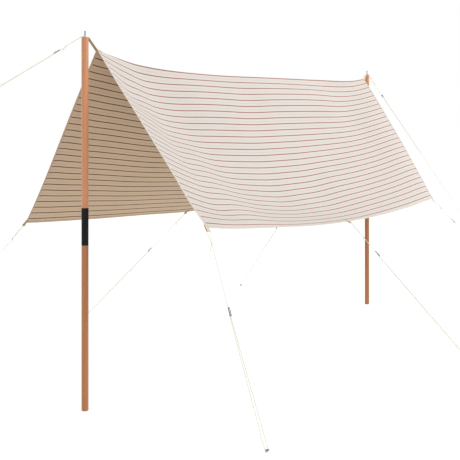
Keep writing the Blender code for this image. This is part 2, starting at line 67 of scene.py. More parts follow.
# Bellies by share along: depth, and the share of the way down where it is deepest
FRONT_BELLY = (
    (0.0, 0.003, 0.60), (0.04, 0.04, 0.55), (0.12, 0.10, 0.40), (0.25, 0.13, 0.60), (0.4, 0.14, 0.65),
    (0.55, 0.145, 0.65), (0.7, 0.125, 0.55), (0.85, 0.095, 0.38), (0.94, 0.03, 0.30), (1.0, -0.01, 0.35),
)
BACK_BELLY = (
    (0.0, 0.01, 0.75), (0.04, -0.01, 0.15), (0.12, -0.01, 0.15), (0.25, 0.045, 0.35), (0.4, 0.08, 0.40),
    (0.55, 0.085, 0.50), (0.7, 0.09, 0.50), (0.85, 0.06, 0.40), (0.94, 0.025, 0.25), (1.0, 0.0, 0.5),
)
FRONT_INSETS = (0.0865, 0.0595)
BACK_INSETS = (0.1975, 0.0825)
ROPE_RADIUS = 2 * MM
KNOT_RADIUS = 5.5 * MM
STOPPER_RADIUS = 4.1 * MM
TAIL_LENGTH, TAIL_DROP, TAIL_LEAN = 38 * MM, 0.9, 0.2
LEFT_RIDGE_REACH, RIGHT_RIDGE_REACH = 4.00, 3.56
PEG_PLACES = {
    "front_left": (-1.820, -1.140), "front_middle": (0.027, -1.574), "front_right": (2.084, -1.454),
    "back_left": (-1.960, 1.404), "back_middle": (0.024, 1.671), "back_right": (2.008, 1.430),
}
SLIDER_LENGTH, SLIDER_THICKNESS, SLOT_PITCH = 47 * MM, 2 * MM, 14.5 * MM
WEAVE_RUN, WEAVE_LEAD, WEAVE_EASE = 3.5 * MM, 30 * MM, 4 * MM
TAB_WIDTH, TAB_THICKNESS, TAB_OVERLAP, TAB_REACH, EYE_RADIUS = 20 * MM, 1.6 * MM, 20 * MM, 18 * MM, 3.6 * MM
RIDGE_TAB_THICKNESS, RIDGE_TAB_OVERLAP, RIDGE_TAB_BEND = 2 * MM, 30 * MM, 1.2 * MM
EYE_SHOULDER, EYE_MOUTH, PIN_LOOP_MOUTH, EYE_CORNER = 0.55, 0.88, 0.9, 1.5 * MM
PEG_WIDTH, PEG_THICKNESS, PEG_APPROACH = 16 * MM, 5 * MM, 20 * MM

# Sizes of the looks
ALONG, ACROSS = 240, 84
CLOTH_THICKNESS = 0.9 * MM
STRIPE_PITCH = 43.5 * MM
STRIPE_WIDTH = 6.5 * MM
HALF_STRIPES = 27.75
SLIP, SLIP_FADE, RIDGE_OFFSET = 17 * MM, 0.035, 6 * MM
BINDING_WIDTH = 13 * MM
BINDING_THICKNESS = 0.6 * MM
STITCH_PITCH, STITCH_LENGTH, STITCH_THICKNESS = 6.0 * MM, 4.4 * MM, 0.8 * MM
ROPE_LAY, ROPE_STEP = 13 * MM, 1.8 * MM
STRAND_GROOVE = 0.28
EYELET_RADIUS = 7.5 * MM
# Points round a strap: half on its outer side, half on its inner side
RING = 18

# Folds in the cloth: share along, share across, reach along, reach across, height outwards
FOLDS = (
    (0.045, -0.20, 0.028, 0.10, -0.026),
    (0.06, -0.88, 0.06, 0.13, -0.018),
    (0.14, -0.52, 0.06, 0.14, 0.014),
    (0.42, -0.20, 0.07, 0.13, -0.011),
    (0.38, -0.76, 0.07, 0.13, -0.013),
    (0.62, -0.72, 0.07, 0.15, 0.014),
    (0.72, -0.15, 0.17, 0.11, 0.028),
    (0.95, -0.60, 0.06, 0.40, 0.010),
)


# The cloth's form, read through smooth curves as the solids' is

def smooth(rows, share, column):
    """Reads one column of a list of stations at many shares of the way along."""
    stations, values = np.array(rows)[:, 0], np.array(rows)[:, column]
    slopes = np.gradient(values)
    slopes[1:-1] = (values[2:] - values[:-2]) / (stations[2:] - stations[:-2])
    slopes[0] = (values[1] - values[0]) / (stations[1] - stations[0])
    slopes[-1] = (values[-1] - values[-2]) / (stations[-1] - stations[-2])
    i = np.clip(np.searchsorted(stations, share, side="left") - 1, 0, len(stations) - 2)
    span = stations[i + 1] - stations[i]
    t = (share - stations[i]) / span
    t2, t3 = t * t, t * t * t
    start = (2 * t3 - 3 * t2 + 1) * values[i] + (t3 - 2 * t2 + t) * span * slopes[i]
    return start + (3 * t2 - 2 * t3) * values[i + 1] + (t3 - t2) * span * slopes[i + 1]


def half_cloth(share, down, side):
    """Points of one half: share along, share down from the ridge, and side -1 (front) or 1 (back)."""
    front = (FRONT_HEM, FRONT_BELLY, FRONT_INSETS)
    hem, belly, insets = front if side < 0 else (BACK_HEM, BACK_BELLY, BACK_INSETS)
    ridge_x = LEFT_X + RIDGE_INSETS[0] + share * (POLE_SPACING - sum(RIDGE_INSETS))
    hem_x = LEFT_X + insets[0] + share * (POLE_SPACING - sum(insets))
    ridge_z = smooth(RIDGE_HEIGHTS, share, 1)
    run_y = side * smooth(hem, share, 1)
    run_z = smooth(hem, share, 2) - ridge_z
    # Down to the solid's first row the belly starts gently, so that the two halves stay apart
    near = np.minimum(down * STEPS_ACROSS, 1.0)
    eased = np.maximum(down, 1 / STEPS_ACROSS) ** (math.log(0.5) / np.log(smooth(belly, share, 2)))
    hang = smooth(belly, share, 1) * 4 * eased * (1 - eased) * near * (1.5 - near / 2)
    hang = hang / np.hypot(run_y, run_z)
    x = ridge_x + (hem_x - ridge_x) * down
    y = run_y * down + side * run_z * hang
    z = ridge_z + run_z * down - np.abs(run_y) * hang
    return np.stack([x + SHIFT.x, y + SHIFT.y, z], axis=-1)


def plain_cloth(share, across):
    """Points of the cloth's middle without its small folds; across runs -1 (front hem) to 1 (back hem)."""
    share, across = np.broadcast_arrays(np.asarray(share, float), np.asarray(across, float))
    down = np.abs(across)
    return np.where(across[..., None] < 0, half_cloth(share, down, -1), half_cloth(share, down, 1))


def facing(surface, share, across, along_step, across_step):
    """The outward side of a surface at many places, from small steps each way."""
    share, across = np.broadcast_arrays(np.asarray(share, float), np.asarray(across, float))
    run = surface(np.minimum(share + along_step, 1.0), across)
    run = run - surface(np.maximum(share - along_step, 0.0), across)
    far, near = np.minimum(across + across_step, 1.0), np.maximum(across - across_step, -1.0)
    normal = np.cross(run, surface(share, far) - surface(share, near))
    return normal / np.linalg.norm(normal, axis=-1, keepdims=True)


def folded_cloth(share, across):
    """Points of the cloth's middle with its folds."""
    share, across = np.broadcast_arrays(np.asarray(share, float), np.asarray(across, float))
    lift = np.zeros(share.shape)
    for at, over, reach_along, reach_across, height in FOLDS:
        lift += height * np.exp(-((share - at) / reach_along) ** 2 - ((across - over) / reach_across) ** 2)
    lift *= np.minimum(1.0, 12 * np.abs(across)) * np.minimum(1.0, 8 * (1 - np.abs(across)))
    return plain_cloth(share, across) + lift[..., None] * facing(plain_cloth, share, across, 0.004, 0.008)


def cloth_face(share, across):
    return facing(folded_cloth, share, across, 0.002, 0.004)


def solid_point(share, across):
    return Vector(plain_cloth(share, across))


def solid_normal(share, across):
    """The outward side of the solid cloth's own facets, which the tabs and ropes are set by."""
    step = (1 - END_CROWDING) / STEPS_ALONG + END_CROWDING * 0.5 * (1 - math.cos(math.pi / STEPS_ALONG))
    along = solid_point(min(share + step, 1.0), across) - solid_point(max(share - step, 0.0), across)
    if across == 0.0:
        return Vector((-along.z, 0.0, along.x)).normalized()
    inner = math.copysign(abs(across) - 1 / STEPS_ACROSS, across)
    normal = along.cross(solid_point(share, across) - solid_point(share, inner)).normalized()
    return normal if normal.z > 0 else -normal


# Small helpers

def linear(code):
    """An sRGB hex colour as linear red, green, blue and 1."""
    parts = [int(code[i:i + 2], 16) / 255 for i in (1, 3, 5)]
    return tuple(c / 12.92 if c <= 0.04045 else ((c + 0.055) / 1.055) ** 2.4 for c in parts) + (1.0,)


def add(tree, kind, inputs=None, **settings):
    """Adds one node. Inputs give each socket a value or another node's output."""
    node = tree.nodes.new(kind)
    for name, value in settings.items():
        setattr(node, name, value)
    for key, value in (inputs or {}).items():
        if isinstance(value, bpy.types.NodeSocket):
            tree.links.new(value, node.inputs[key])
        else:
            node.inputs[key].default_value = value
    return node


def finish_of(name, roughness, metallic=0.0, **sockets):
    """A named material with its plain shader settings. Returns it, its tree and its shader."""
    material = bpy.data.materials.new(name)
    material.use_nodes = True
    shader = material.node_tree.nodes["Principled BSDF"]
    shader.inputs["Roughness"].default_value = roughness
    shader.inputs["Metallic"].default_value = metallic
    for key, value in sockets.items():
        shader.inputs[key.replace("_", " ")].default_value = value
    return material, material.node_tree, shader


def piece(name, mesh, node, slot, *materials):
    """Links a finished mesh as a piece at the origin that stands for a node of the solids."""
    for k, material in enumerate(materials):
        if k < len(mesh.materials):
            mesh.materials[k] = material
        else:
            mesh.materials.append(material)
    obj = bpy.data.objects.new(name, mesh)
    bpy.context.scene.collection.objects.link(obj)
    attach(obj, "root")
    if node:
        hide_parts(node)
    return obj


def tidied(mesh, merge=0.0):
    """Turns a mesh's faces outwards and shades it smooth up to its crisp edges."""
    work = bmesh.new()
    work.from_mesh(mesh)
    if merge:
        bmesh.ops.remove_doubles(work, verts=work.verts, dist=merge)
    bmesh.ops.recalc_face_normals(work, faces=work.faces)
    work.to_mesh(mesh)
    work.free()
    mesh.shade_smooth()
    mesh.set_sharp_from_angle(angle=math.radians(38))
    return mesh


def mesh_of(points, faces):
    mesh = bpy.data.meshes.new("piece")
    mesh.from_pydata([tuple(p) for p in points], [], faces)
    return mesh


def baked(mesh, *modifiers):
    """The mesh after modifiers, each given as its type and settings."""
    obj = bpy.data.objects.new("work", mesh)
    bpy.context.scene.collection.objects.link(obj)
    for kind, settings in modifiers:
        modifier = obj.modifiers.new(kind.lower(), kind)
        for key, value in settings.items():
            if isinstance(value, (int, float, str, bool)) or key == "node_group":
                setattr(modifier, key, value)
        if kind == "NODES":
            for item in modifier.node_group.interface.items_tree:
                if item.item_type == "SOCKET" and item.in_out == "INPUT" and item.name in settings["inputs"]:
                    modifier[item.identifier] = settings["inputs"][item.name]
    graph = bpy.context.evaluated_depsgraph_get()
    result = bpy.data.meshes.new_from_object(obj.evaluated_get(graph), depsgraph=graph)
    bpy.data.objects.remove(obj, do_unlink=True)
    return result


def lines_mesh(lines):
    """Open and closed runs of points as a mesh of edges; a run is (points, closed)."""
    points, edges = [], []
    for run, closed in lines:
        first = len(points)
        points += [tuple(p) for p in run]
        edges += [(first + i, first + i + 1) for i in range(len(run) - 1)]
        if closed:
            edges.append((first + len(run) - 1, first))
    mesh = bpy.data.meshes.new("lines")
    mesh.from_pydata(points, edges, [])
    return mesh


def rings(loops, closed=False):
    """A closed skin over rings of points, with a flat cap at each open end."""
    count = len(loops[0])
    points = [p for ring in loops for p in ring]
    faces = []
    for i in range(len(loops) if closed else len(loops) - 1):
        here, there = i * count, (i + 1) % len(loops) * count
        for k in range(count):
            after = (k + 1) % count
            faces.append((here + k, here + after, there + after, there + k))
    if not closed:
        faces += [tuple(range(count)), tuple(range(len(points) - count, len(points)))]
    return points, faces


# Trees for what repeats or follows a path

def new_tree(name, **sizes):
    """A geometry tree with a mesh input, named size inputs and a material input."""
    tree = bpy.data.node_groups.new(name, "GeometryNodeTree")
    tree.interface.new_socket("Geometry", in_out="INPUT", socket_type="NodeSocketGeometry")
    tree.interface.new_socket("Geometry", in_out="OUTPUT", socket_type="NodeSocketGeometry")
    for size, value in sizes.items():
        socket = tree.interface.new_socket(size, in_out="INPUT", socket_type="NodeSocketFloat")
        socket.default_value = value
    tree.interface.new_socket("Material", in_out="INPUT", socket_type="NodeSocketMaterial")
    return tree, add(tree, "NodeGroupInput").outputs


def rope_tree():
    """Three strands laid round each other along every run of the input's edges."""
    tree, given = new_tree("laid_rope", Radius=ROPE_RADIUS, Lay=ROPE_LAY, Step=ROPE_STEP, Groove=STRAND_GROOVE)
    path = add(tree, "GeometryNodeMeshToCurve", {0: given["Geometry"]}).outputs[0]
    path = add(tree, "GeometryNodeResampleCurve", {"Curve": path, "Length": given["Step"]}, mode="LENGTH").outputs[0]
    length = add(tree, "GeometryNodeSplineParameter").outputs["Length"]
    turns = add(tree, "ShaderNodeMath", {0: length, 1: given["Lay"]}, operation="DIVIDE").outputs[0]
    turned = add(tree, "ShaderNodeMath", {0: turns, 1: 2 * math.pi}, operation="MULTIPLY").outputs[0]
    path = add(tree, "GeometryNodeSetCurveTilt", {"Curve": path, "Tilt": turned}).outputs[0]
    ring = add(tree, "GeometryNodeCurvePrimitiveCircle", {"Resolution": 12, "Radius": given["Radius"]}).outputs[0]
    place = add(tree, "GeometryNodeInputPosition").outputs[0]
    split = add(tree, "ShaderNodeSeparateXYZ", {0: place}).outputs
    angle = add(tree, "ShaderNodeMath", {0: split[1], 1: split[0]}, operation="ARCTAN2").outputs[0]
    lobe = add(tree, "ShaderNodeMath", {0: angle, 1: 1.5}, operation="MULTIPLY").outputs[0]
    lobe = add(tree, "ShaderNodeMath", {0: lobe}, operation="COSINE").outputs[0]
    crown = add(tree, "ShaderNodeMath", {0: lobe}, operation="ABSOLUTE").outputs[0]
    # The crown is also stored for the finish, which paints shade into the grooves between strands by it
    ring = add(tree, "GeometryNodeStoreNamedAttribute", {"Geometry": ring, "Name": "crown", "Value": crown}).outputs[0]
    low = add(tree, "ShaderNodeMath", {0: 1.0, 1: given["Groove"]}, operation="SUBTRACT").outputs[0]
    scale = add(tree, "ShaderNodeMath", {0: crown, 1: given["Groove"], 2: low}, operation="MULTIPLY_ADD").outputs[0]
    moved = add(tree, "ShaderNodeVectorMath", {0: place, "Scale": scale}, operation="SCALE").outputs[0]
    ring = add(tree, "GeometryNodeSetPosition", {"Geometry": ring, "Position": moved}).outputs[0]
    skin = add(tree, "GeometryNodeCurveToMesh", {"Curve": path, "Profile Curve": ring, "Fill Caps": True}).outputs[0]
    skin = add(tree, "GeometryNodeSetShadeSmooth", {"Geometry": skin}).outputs[0]
    skin = add(tree, "GeometryNodeRealizeInstances", {"Geometry": skin}).outputs[0]
    skin = add(tree, "GeometryNodeSetMaterial", {"Geometry": skin, "Material": given["Material"]}).outputs[0]
    add(tree, "NodeGroupOutput", {0: skin})
    return tree


def stitch_tree():
    """One plump stitch after another along every run of the input's edges."""
    tree, given = new_tree("row_of_stitches", Pitch=STITCH_PITCH, Length=STITCH_LENGTH, Thickness=STITCH_THICKNESS)
    path = add(tree, "GeometryNodeMeshToCurve", {0: given["Geometry"]}).outputs[0]
    path = add(tree, "GeometryNodeResampleCurve", {"Curve": path, "Length": given["Pitch"]}, mode="LENGTH").outputs[0]
    along = add(tree, "GeometryNodeInputTangent").outputs[0]
    turn = add(tree, "FunctionNodeAlignRotationToVector", {"Vector": along}, axis="X").outputs[0]
    thread = add(tree, "GeometryNodeMeshUVSphere", {"Segments": 6, "Rings": 4, "Radius": 0.5}).outputs[0]
    size = add(tree, "ShaderNodeCombineXYZ", {0: given["Length"], 1: given["Thickness"], 2: given["Thickness"]})
    rows = add(tree, "GeometryNodeInstanceOnPoints", {
        "Points": path, "Instance": thread, "Rotation": turn, "Scale": size.outputs[0],
    }).outputs[0]
    rows = add(tree, "GeometryNodeRealizeInstances", {"Geometry": rows}).outputs[0]
    rows = add(tree, "GeometryNodeSetShadeSmooth", {"Geometry": rows}).outputs[0]
    rows = add(tree, "GeometryNodeSetMaterial", {"Geometry": rows, "Material": given["Material"]}).outputs[0]
    add(tree, "NodeGroupOutput", {0: rows})
    return tree


# Finishes

def striped_canvas(name, ground, warm, stripe, hairline):
    """Yarn-dyed cotton canvas, plain weave: red stripes along the ridge, a hairline between each two.

    The dye is in the thread, so a stripe's edge is soft by one thread and its red is a little uneven.
    """
    material, tree, shader = finish_of(name, 0.88, Sheen_Weight=0.10, Sheen_Roughness=0.5, Specular_IOR_Level=0.2)
    woven = add(tree, "ShaderNodeUVMap", uv_map="cloth").outputs[0]
    along, away, _ = add(tree, "ShaderNodeSeparateXYZ", {0: woven}).outputs
    # Distance from the nearest stripe's middle; the hairline lies half a repeat away
    away = add(tree, "ShaderNodeMath", {0: away}, operation="ABSOLUTE").outputs[0]
    turn = add(tree, "ShaderNodeMath", {0: away, 1: STRIPE_PITCH / 2}, operation="PINGPONG").outputs[0]
    red = add(tree, "ShaderNodeMapRange", {
        "Value": turn, "From Min": STRIPE_WIDTH / 2 - 0.5 * MM, "From Max": STRIPE_WIDTH / 2 + 0.5 * MM,
        "To Min": 0.92, "To Max": 0.0,
    }).outputs[0]
    hair = add(tree, "ShaderNodeMapRange", {
        "Value": turn, "From Min": STRIPE_PITCH / 2 - 2.4 * MM, "From Max": STRIPE_PITCH / 2 - 1.6 * MM,
        "To Max": 0.5,
    }).outputs[0]
    # Slubs: thick threads some centimetres long and one thread wide, along the cloth
    slub_place = add(tree, "ShaderNodeMapping", {"Vector": woven, "Scale": (28.0, 900.0, 1.0)}).outputs[0]
    slub = add(tree, "ShaderNodeTexNoise", {"Vector": slub_place, "Scale": 1.0, "Detail": 2.0}).outputs[0]
    cloud = add(tree, "ShaderNodeTexNoise", {"Vector": woven, "Scale": 3.0, "Detail": 3.0}).outputs[0]
    base = add(tree, "ShaderNodeMix", {0: cloud, 6: linear(ground), 7: linear(warm)}, data_type="RGBA").outputs[2]
    base = add(tree, "ShaderNodeMix", {0: hair, 6: base, 7: linear(hairline)}, data_type="RGBA").outputs[2]
    base = add(tree, "ShaderNodeMix", {0: red, 6: base, 7: linear(stripe)}, data_type="RGBA").outputs[2]
    shade = add(tree, "ShaderNodeMapRange", {
        "Value": slub, "From Min": 0.3, "From Max": 0.7, "To Min": 0.95, "To Max": 1.03,
    }).outputs[0]
    base = add(tree, "ShaderNodeVectorMath", {0: base, "Scale": shade}, operation="SCALE").outputs[0]
    tree.links.new(base, shader.inputs["Base Color"])
    # Plain weave, 1.6 mm from thread to thread: real canvas is 0.6 mm, too fine to show
    turns = 2 * math.pi / (1.6 * MM)
    warp = add(tree, "ShaderNodeMath", {0: along, 1: turns}, operation="MULTIPLY").outputs[0]
    warp = add(tree, "ShaderNodeMath", {0: warp}, operation="SINE").outputs[0]
    weft = add(tree, "ShaderNodeMath", {0: away, 1: turns}, operation="MULTIPLY").outputs[0]
    weft = add(tree, "ShaderNodeMath", {0: weft}, operation="SINE").outputs[0]
    weave = add(tree, "ShaderNodeMath", {0: warp, 1: weft, 2: slub}, operation="MULTIPLY_ADD").outputs[0]
    # Creases left by folding the cloth away: soft, some centimetres apart
    crease = add(tree, "ShaderNodeTexNoise", {"Vector": woven, "Scale": 7.0, "Detail": 4.0, "Distortion": 0.8}).outputs[0]
    soft = add(tree, "ShaderNodeBump", {"Strength": 0.35, "Distance": 6 * MM, "Height": crease}).outputs[0]
    bump = add(tree, "ShaderNodeBump", {"Strength": 0.35, "Distance": 0.15 * MM, "Height": weave, "Normal": soft})
    tree.links.new(bump.outputs[0], shader.inputs["Normal"])
    return material


def webbing(name, light, dark):
    """Woven cotton tape: cross ribs 1.2 mm apart, matt, a little yellower than the canvas."""
    material, tree, shader = finish_of(name, 0.9, Sheen_Weight=0.1, Specular_IOR_Level=0.2)
    woven = add(tree, "ShaderNodeUVMap", uv_map="tape").outputs[0]
    along, over, _ = add(tree, "ShaderNodeSeparateXYZ", {0: woven}).outputs
    rib = add(tree, "ShaderNodeMath", {0: along, 1: 2 * math.pi / (1.2 * MM)}, operation="MULTIPLY").outputs[0]
    rib = add(tree, "ShaderNodeMath", {0: rib}, operation="SINE").outputs[0]
    thread = add(tree, "ShaderNodeMath", {0: over, 1: 2 * math.pi / (0.9 * MM)}, operation="MULTIPLY").outputs[0]
    thread = add(tree, "ShaderNodeMath", {0: thread}, operation="SINE").outputs[0]
    cloud = add(tree, "ShaderNodeTexNoise", {"Vector": woven, "Scale": 90.0, "Detail": 3.0}).outputs[0]
    height = add(tree, "ShaderNodeMath", {0: rib, 1: thread, 2: cloud}, operation="MULTIPLY_ADD").outputs[0]
    base = add(tree, "ShaderNodeMix", {0: cloud, 6: linear(dark), 7: linear(light)}, data_type="RGBA").outputs[2]
    tree.links.new(base, shader.inputs["Base Color"])
    bump = add(tree, "ShaderNodeBump", {"Strength": 0.5, "Distance": 0.2 * MM, "Height": height})
    tree.links.new(bump.outputs[0], shader.inputs["Normal"])
    return material


def cotton_thread(name, light, dark):
    """Sewing thread or rope yarn: matt cotton, slightly fuzzy, with painted shade where two strands meet: the dark
    colour down in the grooves, the light one on the crowns.
    """
    material, tree, shader = finish_of(name, 0.92, Sheen_Weight=0.12, Specular_IOR_Level=0.2)
    crown = add(tree, "ShaderNodeAttribute", attribute_name="crown", attribute_type="GEOMETRY").outputs["Fac"]
    place = add(tree, "ShaderNodeTexCoord").outputs["Object"]
    fibre = add(tree, "ShaderNodeTexNoise", {"Vector": place, "Scale": 900.0, "Detail": 3.0}).outputs[0]
    # Painted shade: the lower the crown, the nearer the colour comes to the dark one, so the grooves look shaded
    share = add(tree, "ShaderNodeMath", {0: crown, 1: 0.7, 2: 0.3}, operation="MULTIPLY_ADD").outputs[0]
    share = add(tree, "ShaderNodeMath", {0: share, 1: fibre}, operation="ADD").outputs[0]
    share = add(tree, "ShaderNodeMapRange", {"Value": share, "From Min": 0.55, "From Max": 1.35}).outputs[0]
    base = add(tree, "ShaderNodeMix", {0: share, 6: linear(dark), 7: linear(light)}, data_type="RGBA").outputs[2]
    tree.links.new(base, shader.inputs["Base Color"])
    bump = add(tree, "ShaderNodeBump", {"Strength": 0.5, "Distance": 0.25 * MM, "Height": fibre})
    tree.links.new(bump.outputs[0], shader.inputs["Normal"])
    return material


def turned_wood(name, light, mid, dark, offset):
    """Oiled hardwood turned round: fine straight grain with short dark pores along the pole."""
    material, tree, shader = finish_of(name, 0.45, Coat_Weight=0.08, Coat_Roughness=0.35)
    place = add(tree, "ShaderNodeTexCoord").outputs["Object"]
    # Growth bands some 12 mm apart and drawn out along the pole; pores 1 mm wide and 40 mm long
    band_place = add(tree, "ShaderNodeMapping", {"Vector": place, "Location": offset, "Scale": (84.0, 84.0, 1.6)})
    bands = add(tree, "ShaderNodeTexNoise", {
        "Vector": band_place.outputs[0], "Scale": 1.0, "Detail": 4.0, "Distortion": 0.6,
    }).outputs[0]
    pore_place = add(tree, "ShaderNodeMapping", {"Vector": place, "Location": offset, "Scale": (900.0, 900.0, 26.0)})
    pores = add(tree, "ShaderNodeTexNoise", {"Vector": pore_place.outputs[0], "Scale": 1.0, "Detail": 2.0}).outputs[0]
    spread = add(tree, "ShaderNodeMapRange", {"Value": bands, "From Min": 0.3, "From Max": 0.7}).outputs[0]
    base = add(tree, "ShaderNodeMix", {0: spread, 6: linear(mid), 7: linear(light)}, data_type="RGBA").outputs[2]
    share = add(tree, "ShaderNodeMapRange", {"Value": pores, "From Min": 0.54, "From Max": 0.72, "To Max": 0.6})
    base = add(tree, "ShaderNodeMix", {0: share.outputs[0], 6: base, 7: linear(dark)}, data_type="RGBA").outputs[2]
    tree.links.new(base, shader.inputs["Base Color"])
    rough = add(tree, "ShaderNodeMapRange", {"Value": pores, "To Min": 0.38, "To Max": 0.58}).outputs[0]
    tree.links.new(rough, shader.inputs["Roughness"])
    bump = add(tree, "ShaderNodeBump", {"Strength": 0.25, "Distance": 0.2 * MM, "Height": pores})
    tree.links.new(bump.outputs[0], shader.inputs["Normal"])
    return material


def coated_sleeve():
    """Powder-coated steel tube: deep black, satin, with the fine dimples of the coat."""
    material, tree, shader = finish_of("powder_coated_steel", 0.6, Specular_IOR_Level=0.2)
    place = add(tree, "ShaderNodeTexCoord").outputs["Object"]
    grain = add(tree, "ShaderNodeTexNoise", {"Vector": place, "Scale": 700.0, "Detail": 2.0}).outputs[0]
    scuff = add(tree, "ShaderNodeTexNoise", {"Vector": place, "Scale": 60.0, "Detail": 5.0}).outputs[0]
    base = add(tree, "ShaderNodeMix", {0: scuff, 6: linear("#050505"), 7: linear("#101010")}, data_type="RGBA")
    tree.links.new(base.outputs[2], shader.inputs["Base Color"])
    rough = add(tree, "ShaderNodeMapRange", {"Value": scuff, "To Min": 0.5, "To Max": 0.7}).outputs[0]
    tree.links.new(rough, shader.inputs["Roughness"])
    bump = add(tree, "ShaderNodeBump", {"Strength": 0.3, "Distance": 0.1 * MM, "Height": grain})
    tree.links.new(bump.outputs[0], shader.inputs["Normal"])
    return material


def plated_steel(name, light, dark, roughness):
    """Zinc-plated steel, rolled and pressed: grey, clouded by its plating, rougher where it is dull."""
    material, tree, shader = finish_of(name, roughness, 1.0)
    place = add(tree, "ShaderNodeTexCoord").outputs["Object"]
    cloud = add(tree, "ShaderNodeTexNoise", {"Vector": place, "Scale": 160.0, "Detail": 4.0}).outputs[0]
    base = add(tree, "ShaderNodeMix", {0: cloud, 6: linear(dark), 7: linear(light)}, data_type="RGBA").outputs[2]
    tree.links.new(base, shader.inputs["Base Color"])
    rough = add(tree, "ShaderNodeMapRange", {"Value": cloud, "To Min": roughness - 0.1, "To Max": roughness + 0.15})
    tree.links.new(rough.outputs[0], shader.inputs["Roughness"])
    bump = add(tree, "ShaderNodeBump", {"Strength": 0.15, "Distance": 0.1 * MM, "Height": cloud})
    tree.links.new(bump.outputs[0], shader.inputs["Normal"])
    return material


# The cloth

def woven_measure(middle, share):
    """How far each point lies from the ridge stripe along the weft, kept even from ridge to hem."""
    steps = np.linalg.norm(np.diff(middle, axis=1), axis=2)
    zero = np.zeros((len(middle), 1))
    back = np.hstack([zero, np.cumsum(steps[:, ACROSS:], axis=1)])
    front = np.hstack([zero, np.cumsum(steps[:, ACROSS - 1::-1], axis=1)])
    half = HALF_STRIPES * STRIPE_PITCH
    slip = SLIP * np.exp(-share / SLIP_FADE) - RIDGE_OFFSET
    back = back / back[:, -1:] * (half + slip) - slip
    front = -(front / front[:, -1:] * (half - slip) + slip)
    return np.hstack([front[:, :0:-1], back])


def canopy():
    """The cloth as one thin closed sheet, with its woven measure kept in its own UV map."""
    share = np.linspace(0, 1, ALONG + 1)[:, None]
    across = np.linspace(-1, 1, 2 * ACROSS + 1)[None, :]
    columns = 2 * ACROSS + 1
    middle = folded_cloth(share, across)
    normal = cloth_face(share, across)
    steps = np.linalg.norm(np.diff(middle, axis=0), axis=2)
    along = np.vstack([np.zeros((1, columns)), np.cumsum(steps, axis=0)])
    flat = np.stack([along, woven_measure(middle, share)], axis=-1).reshape(-1, 2)
    offset = normal * CLOTH_THICKNESS / 2
    points = np.concatenate([(middle + offset).reshape(-1, 3), (middle - offset).reshape(-1, 3)])
    under = (ALONG + 1) * columns
    faces, inner = [], []
    for i in range(ALONG):
        for j in range(columns - 1):
            a = i * columns + j
            quad = (a, a + 1, a + columns + 1, a + columns)
            faces.append(quad)
            inner.append(tuple(c + under for c in quad))
    edge = [i * columns for i in range(ALONG + 1)]
    edge += [ALONG * columns + j for j in range(1, columns)]
    edge += [i * columns + columns - 1 for i in range(ALONG - 1, -1, -1)]
    edge += list(range(columns - 2, 0, -1))
    rim = [(a, b, b + under, a + under) for a, b in zip(edge, edge[1:] + edge[:1])]
    mesh = tidied(mesh_of(points, faces + inner + rim))
    layer = mesh.uv_layers.new(name="cloth")
    corners = np.empty(len(mesh.loops), np.int32)
    mesh.loops.foreach_get("vertex_index", corners)
    layer.data.foreach_set("uv", np.concatenate([flat, flat])[corners].astype(np.float32).ravel())
    # The inner face takes the second material, whose darker colours are painted shade
    for face in mesh.polygons[len(faces):len(faces) + len(inner)]:
        face.material_index = 1
    return mesh


def edge_line(which, inset, count):
    """Shares along and across of a line that runs inside one edge of the cloth."""
    t = np.linspace(0, 1, count)
    across_inset, along_inset = inset / 1.22, inset / 3.5
    if which in ("front", "back"):
        side = -1 if which == "front" else 1
        return t, np.full(count, side * (1 - across_inset))
    at = along_inset if which == "left" else 1 - along_inset
    return np.full(count, at), 2 * t - 1


def bound_edge(which, count, lift):
    """Tape folded over one edge of the cloth, as a closed U-shaped strip."""
    low = CLOTH_THICKNESS / 2 + 0.05 * MM + lift
    high = low + BINDING_THICKNESS
    lip = 0.4 * MM + lift
    profile = [
        (BINDING_WIDTH, high), (BINDING_WIDTH / 2, high + 0.1 * MM), (0.3 * MM, high), (-lip, high / 2),
        (-lip, -high / 2), (0.3 * MM, -high), (BINDING_WIDTH / 2, -high - 0.1 * MM), (BINDING_WIDTH, -high),
        (BINDING_WIDTH, -low), (0.3 * MM, -low), (0.3 * MM, low), (BINDING_WIDTH, low),
    ]
    columns = []
    edge_share, edge_across = edge_line(which, 0.0, count)
    rim = folded_cloth(edge_share, edge_across)
    within = folded_cloth(*edge_line(which, BINDING_WIDTH, count))
    outwards = rim - within
    outwards /= np.linalg.norm(outwards, axis=1, keepdims=True)
    for inset, offset in profile:
        place = folded_cloth(*edge_line(which, max(inset, 0.0), count))
        place = place + outwards * max(-inset, 0.0)
        columns.append(place + offset * cloth_face(*edge_line(which, max(inset, 0.0), count)))
    loops = np.stack(columns, axis=1)
    length = np.concatenate([[0.0], np.cumsum(np.linalg.norm(np.diff(rim, axis=0), axis=1))])
    measure = [(length[i], k * 2.4 * MM) for i in range(count) for k in range(len(profile))]
    # The faces that look inwards and so get painted shade, station by station, and the two end caps
    shaded = [4 <= k <= 8 for _ in range(count - 1) for k in range(len(profile))] + [False, False]
    return *rings([list(ring) for ring in loops]), measure, shaded


def with_tape_map(mesh, measure):
    """Gives a mesh its tape UV map from one measure for each vertex."""
    layer = mesh.uv_layers.new(name="tape")
    for loop in mesh.loops:
        layer.data[loop.index].uv = measure[loop.vertex_index]
    return mesh


def two_sided(mesh, shaded, outer, inner):
    """Gives a mesh two materials: the inner one, a copy with painted shade, where a face is shaded."""
    for look in (outer, inner):
        mesh.materials.append(look)
    for face, is_inner in zip(mesh.polygons, shaded):
        face.material_index = int(is_inner)
    return mesh


